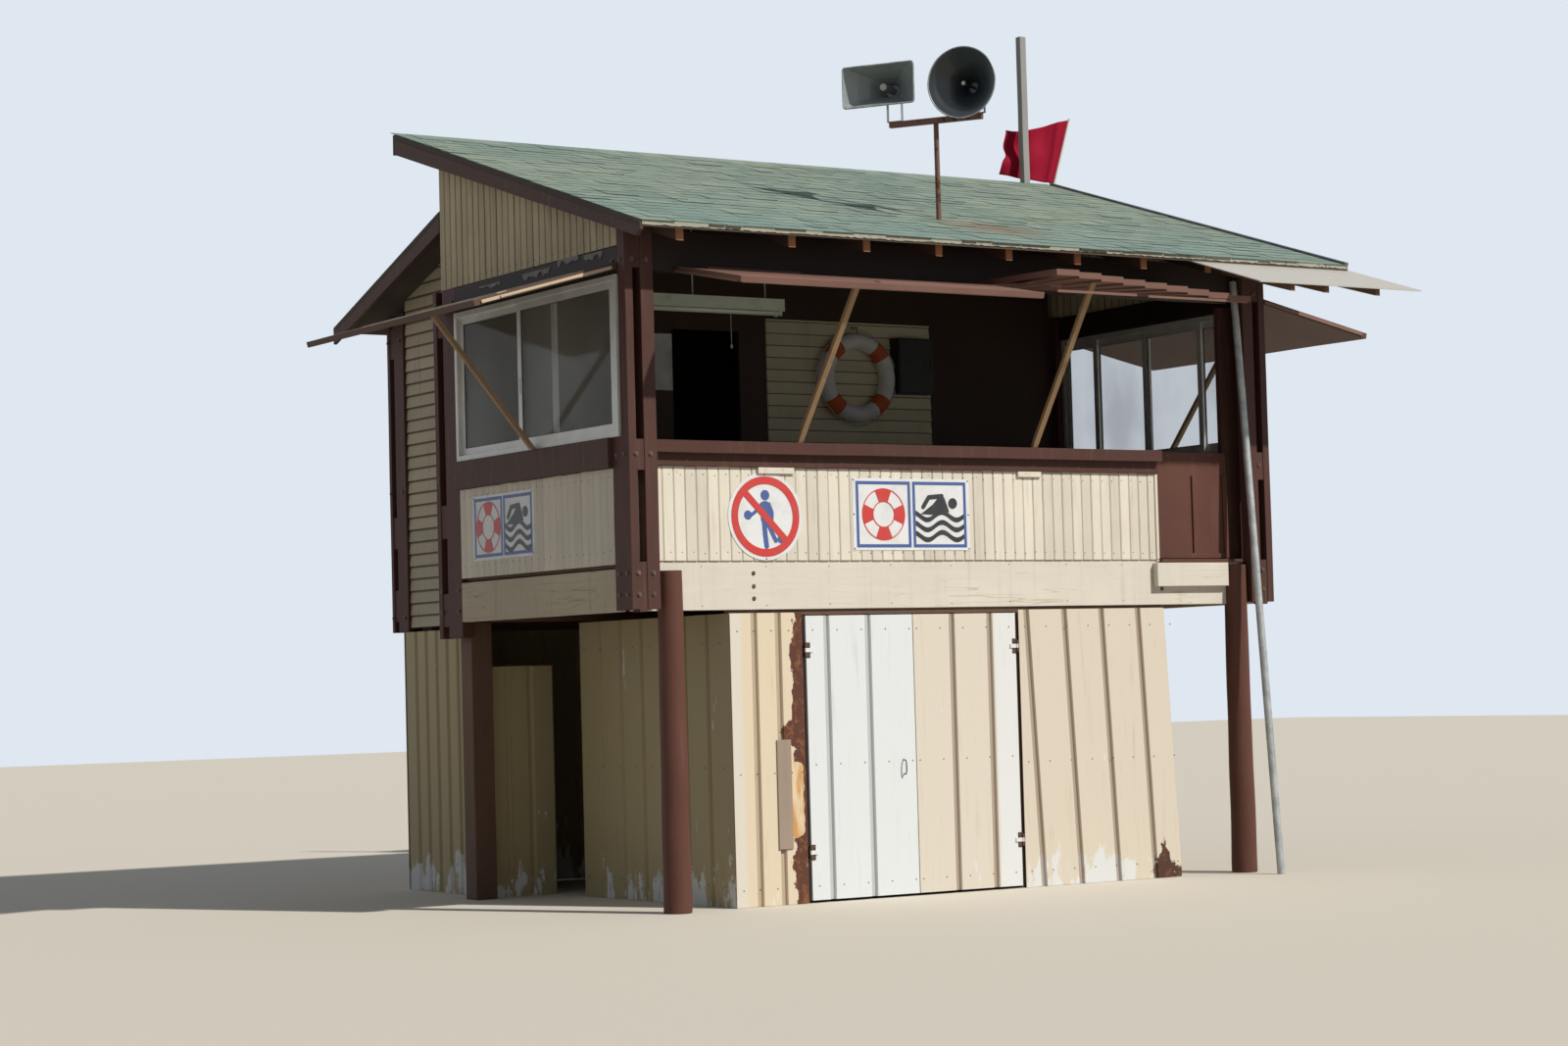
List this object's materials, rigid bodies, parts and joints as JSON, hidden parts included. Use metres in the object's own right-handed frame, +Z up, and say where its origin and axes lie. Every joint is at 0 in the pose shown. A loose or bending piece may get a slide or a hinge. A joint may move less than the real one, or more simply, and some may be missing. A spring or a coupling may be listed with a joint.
{
  "type": "lifeguard tower",
  "caption": "Timber lifeguard cabin on posts with propped hatches, a green lean-to roof, loudspeakers and mast, and a ribbed steel store with hinged doors beneath.",
  "frame": {"origin": "centre of the front left round post's foot, on the ground", "axes": "+X along the long front towards the right end, +Y from the front to the back, +Z up"},
  "size_m": [8.2633, 6.01, 7.39],
  "materials": {
    "brown_timber": "weathered brown paint",
    "cream_boards": "weathered cream paint",
    "gable_boards": "faded varnish",
    "plain_timber": "bare, aged",
    "hatch_boards": "faded brown paint",
    "prop_wood": "bare",
    "roof_shingles": "weathered green shingles",
    "store_sheet_cream": "peeling cream paint",
    "store_sheet_white": "chalky white paint",
    "window_aluminium": "dull mill finish",
    "window_pane": "dusty",
    "roof_sheet_grey": "matt grey",
    "pole_paint": "rusty",
    "horn_grey": "satin grey",
    "horn_dark": "satin dark grey",
    "mast_paint": "weathered grey white",
    "pipe_grey": "galvanised, stained",
    "staff_white": "matt",
    "flag_cloth": "plain red cloth",
    "lifebuoy_foam": "matt, white with orange bands",
    "lamp_white": "satin",
    "board_white": "matt",
    "cabinet_grey": "satin"
  },
  "bodies": {
    "cabin": {"posts_front": "brown_timber", "columns_front": "brown_timber", "columns_side": "brown_timber", "headers": "brown_timber", "counter_ledge": "brown_timber", "window_sills": "brown_timber", "front_brown_panel": "brown_timber", "fascia_boards": "brown_timber", "parapet_front": "cream_boards", "side_walls": "cream_boards", "edge_beams": "cream_boards", "partition_wall": "cream_boards", "rear_walls": "cream_boards", "gables": "gable_boards", "upper_wall": "gable_boards", "floor_deck": "plain_timber", "floor_joists": "plain_timber", "rafters": "plain_timber", "posts_inner": "plain_timber", "store_frame": "plain_timber", "hatch_front_left": "hatch_boards", "hatch_front_right": "hatch_boards", "hatch_side_left": "hatch_boards", "hatch_side_right": "hatch_boards", "hatch_props": "prop_wood", "roof_front": "roof_shingles", "roof_back": "roof_shingles", "store_panel_left": "store_sheet_cream", "store_panel_right": "store_sheet_cream", "store_walls": "store_sheet_cream", "window_frames": "window_aluminium", "window_glass": "window_pane", "roof_sheet": "roof_sheet_grey", "speaker_pole": "pole_paint", "horn_square": "horn_grey", "horn_round": "horn_dark", "mast": "mast_paint", "leaning_pipe": "pipe_grey", "flag_staff": "staff_white", "flag": "flag_cloth", "lifebuoy": "lifebuoy_foam", "ceiling_lamp": "lamp_white", "notice_board": "board_white", "cabinet": "cabinet_grey"},
    "door_left": {"store_door_left": "store_sheet_white"},
    "door_right": {"store_door_right": "store_sheet_cream"}
  },
  "joints": [
    {"name": "left_door_hinge", "type": "hinge", "parent": "cabin", "child": "door_left", "pos_m": [1.141, 0.001, 1], "axis": [0, 0, -1], "range_deg": [0, 105]},
    {"name": "right_door_hinge", "type": "hinge", "parent": "cabin", "child": "door_right", "pos_m": [3.069, 0.001, 1], "axis": [0, 0, 1], "range_deg": [0, 105]}
  ]
}
